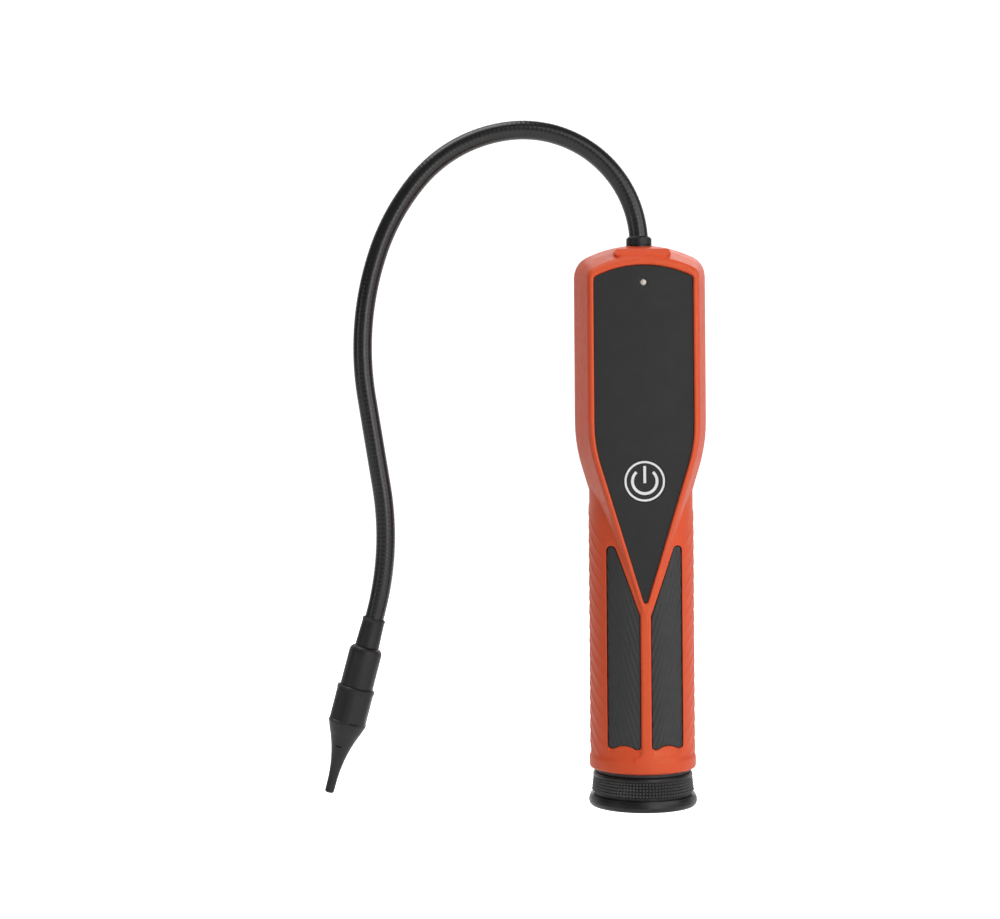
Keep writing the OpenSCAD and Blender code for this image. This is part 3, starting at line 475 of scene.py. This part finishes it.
def paint_tip_highlight(made):
    """Paints the knurl's tips paler within the knurled band, by their distance from the cap's axis: a painted
    highlight for the light the tips catch, not wear.
    """
    gloss = shader_of(made)
    tree = made.node_tree
    place = tree.nodes.new("ShaderNodeTexCoord")
    flat = tree.nodes.new("ShaderNodeVectorMath")
    flat.operation = "MULTIPLY"
    flat.inputs[1].default_value = (1, 1, 0)
    reach = tree.nodes.new("ShaderNodeVectorMath")
    reach.operation = "LENGTH"
    height = tree.nodes.new("ShaderNodeSeparateXYZ")
    lean = tree.nodes.new("ShaderNodeMath")
    lean.operation = "MULTIPLY_ADD"
    slope = KNURL_TAPER / (KNURL_HIGH - KNURL_LOW)
    lean.inputs[1].default_value = slope
    band = tree.nodes.new("ShaderNodeMath")
    band.operation = "COMPARE"
    band.inputs[1].default_value = (KNURL_LOW + KNURL_HIGH) / 2 * MM
    band.inputs[2].default_value = (KNURL_HIGH - KNURL_LOW) / 2 * MM
    tip = tree.nodes.new("ShaderNodeMapRange")
    tip_reach = KNURL_RADIUS + KNURL_LOW * slope
    tip.inputs["From Min"].default_value = (tip_reach - KNURL_DEPTH) * MM
    tip.inputs["From Max"].default_value = tip_reach * MM
    share = tree.nodes.new("ShaderNodeMath")
    share.operation = "MULTIPLY"
    tip_highlight = tree.nodes.new("ShaderNodeMix")
    tip_highlight.data_type = "RGBA"
    tip_highlight.inputs["B"].default_value = TIP_HIGHLIGHT_PAINT
    colour = gloss.inputs["Base Color"].links[0].from_socket
    tree.links.new(place.outputs["Object"], flat.inputs[0])
    tree.links.new(flat.outputs[0], reach.inputs[0])
    tree.links.new(place.outputs["Object"], height.inputs[0])
    tree.links.new(height.outputs["Z"], lean.inputs[0])
    tree.links.new(reach.outputs["Value"], lean.inputs[2])
    tree.links.new(lean.outputs[0], tip.inputs["Value"])
    tree.links.new(height.outputs["Z"], band.inputs[0])
    tree.links.new(tip.outputs[0], share.inputs[0])
    tree.links.new(band.outputs[0], share.inputs[1])
    tree.links.new(share.outputs[0], tip_highlight.inputs["Factor"])
    tree.links.new(colour, tip_highlight.inputs["A"])
    tree.links.new(tip_highlight.outputs["Result"], gloss.inputs["Base Color"])


cap_black = moulded("cap_black", CAP_TONES, roughness=(0.3, 0.4), specular=0.32)
# The knurl's tips are painted paler here, as a painted highlight and not as wear.
paint_tip_highlight(cap_black)
seal_black = moulded("seal_black", SEAL_TONES, roughness=(0.5, 0.62))
coat(cap_black, "battery_cap")
coat(seal_black, "cap_seal")

# Neck. A stay-put steel core in a black rubber sleeve arches from its collar to the probe, with the sensor's
# lead inside. The sleeve shows the core's turns as faint rings. The lead's tail stays in the housing.
NECK_START = Vector((0, 0, 238.85))
NECK_RUNS = ((12.45, 0), (52, 95), (63, 45), (100, 21), (136, 28), (41, 0), (135, -24), (3, 0))
NECK_IN = 10.0
NECK_STEP = 0.5
NECK_RADIUS = 4.25
NECK_SIDES = 32
NECK_WALL = 0.75
NECK_TONES = ((0.008, 0.0085, 0.008), (0.011, 0.0115, 0.011))
RING_EVERY = 4
RING_DEPTH = 0.045
CORE_RADIUS = 3.45
CORE_SIDES = 24
CORE_WALL = 1.35
LEAD_RADIUS = 1.3
LEAD_SIDES = 16
LEAD_IN = 5.0
LEAD_BEND = 5.0
LEAD_TURNS = range(0, 91, 10)


def neck_path(runs, step):
    """Points along straight runs (length, 0) and bends (radius, degrees), in X and Z from the collar."""
    path = [NECK_START.copy()]
    heading = math.radians(90)
    for size, degrees in runs:
        turn = math.radians(degrees)
        length = size if degrees == 0 else size * abs(turn)
        count = max(1, round(length / step))
        for _ in range(count):
            heading += turn / count / 2
            path.append(path[-1] + Vector((math.cos(heading), 0, math.sin(heading))) * length / count)
            heading += turn / count / 2
    return path


def swept(name, path, radius, sides):
    """A round skin along a path, as a mesh whose points run ring by ring."""
    line = bpy.data.curves.new(name, "CURVE")
    line.dimensions = "3D"
    line.bevel_depth = radius * MM
    line.bevel_resolution = sides // 2 - 2
    spline = line.splines.new("POLY")
    spline.points.add(len(path) - 1)
    for spot, place in zip(spline.points, path):
        spot.co = (*(place * MM), 1)
    piece = bpy.data.objects.new(name, line)
    bpy.context.scene.collection.objects.link(piece)
    pick(piece)
    bpy.ops.object.convert(target="MESH")
    bpy.ops.object.shade_smooth()
    return bpy.context.object


def walled(piece, wall):
    """Gives a skin a wall, inwards."""
    inner = piece.modifiers.new("wall", "SOLIDIFY")
    inner.thickness = wall * MM
    inner.offset = -1
    apply_all(piece)


neck_route = neck_path((*NECK_RUNS, (NECK_IN, 0)), NECK_STEP)
neck_skin = swept("gooseneck_skin", neck_route, NECK_RADIUS, NECK_SIDES)
ring_points = len(neck_skin.data.vertices) // len(neck_route)
for index, point in enumerate(neck_skin.data.vertices):
    ring = index // ring_points
    if ring % RING_EVERY == 0 and 0 < ring < len(neck_route) - 1:
        middle = neck_route[ring] * MM
        point.co = middle + (point.co - middle) * (1 - RING_DEPTH / NECK_RADIUS)
walled(neck_skin, NECK_WALL)
core_tube = swept("core_tube", neck_route[::RING_EVERY], CORE_RADIUS, CORE_SIDES)
walled(core_tube, CORE_WALL)
lead_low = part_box("sensor_lead")[0]
lead_corner = Vector((0, -LEAD_BEND, lead_low.z / MM + LEAD_RADIUS + LEAD_BEND))
tail_route = [Vector((0, lead_low.y / MM, lead_corner.z - LEAD_BEND))]
for degrees in LEAD_TURNS:
    lead_turn = math.radians(degrees)
    tail_route.append(lead_corner + LEAD_BEND * Vector((0, math.sin(lead_turn), -math.cos(lead_turn))))
tail_route.append(NECK_START)
lead_tail = swept("lead_tail", tail_route, LEAD_RADIUS, LEAD_SIDES)
lead_route = neck_path((*NECK_RUNS, (NECK_IN + LEAD_IN, 0)), RING_EVERY * NECK_STEP)
lead_wire = swept("lead_wire", lead_route, LEAD_RADIUS, LEAD_SIDES)
for lead_piece in (lead_tail, lead_wire):
    pick(lead_piece)
    bpy.ops.object.mode_set(mode="EDIT")
    bpy.ops.mesh.select_all(action="SELECT")
    bpy.ops.mesh.fill_holes(sides=0)
    bpy.ops.object.mode_set(mode="OBJECT")
lead_tail.data.materials.append(wire_red)
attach(lead_tail, "housing")
neck_rubber = moulded("neck_rubber", NECK_TONES, roughness=(0.25, 0.31), depth=0.005, specular=0.42)
for neck_piece, neck_node, neck_material, neck_slot in (
    (neck_skin, "gooseneck_sleeve", neck_rubber, "seal_rubber"),
    (core_tube, "gooseneck_core", plated_wire, "spring_steel"),
    (lead_wire, "sensor_lead", wire_red, "lead_jacket"),
):
    neck_piece.data.materials.clear()
    neck_piece.data.materials.append(neck_material)
    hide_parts(neck_node)
    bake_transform(neck_piece)

# Probe. A black collar holds the neck, an end sleeve and a socket carry the sensor, and a push-on cover with
# grip flutes runs out into a flared nozzle.
probe_black = moulded("probe_black", CAP_TONES, roughness=(0.4, 0.5), specular=0.34)
coat(probe_black, "neck_ferrule", "neck_end_sleeve", "sensor_socket", "sensor_cover")
coat(plated_wire, "sensor")
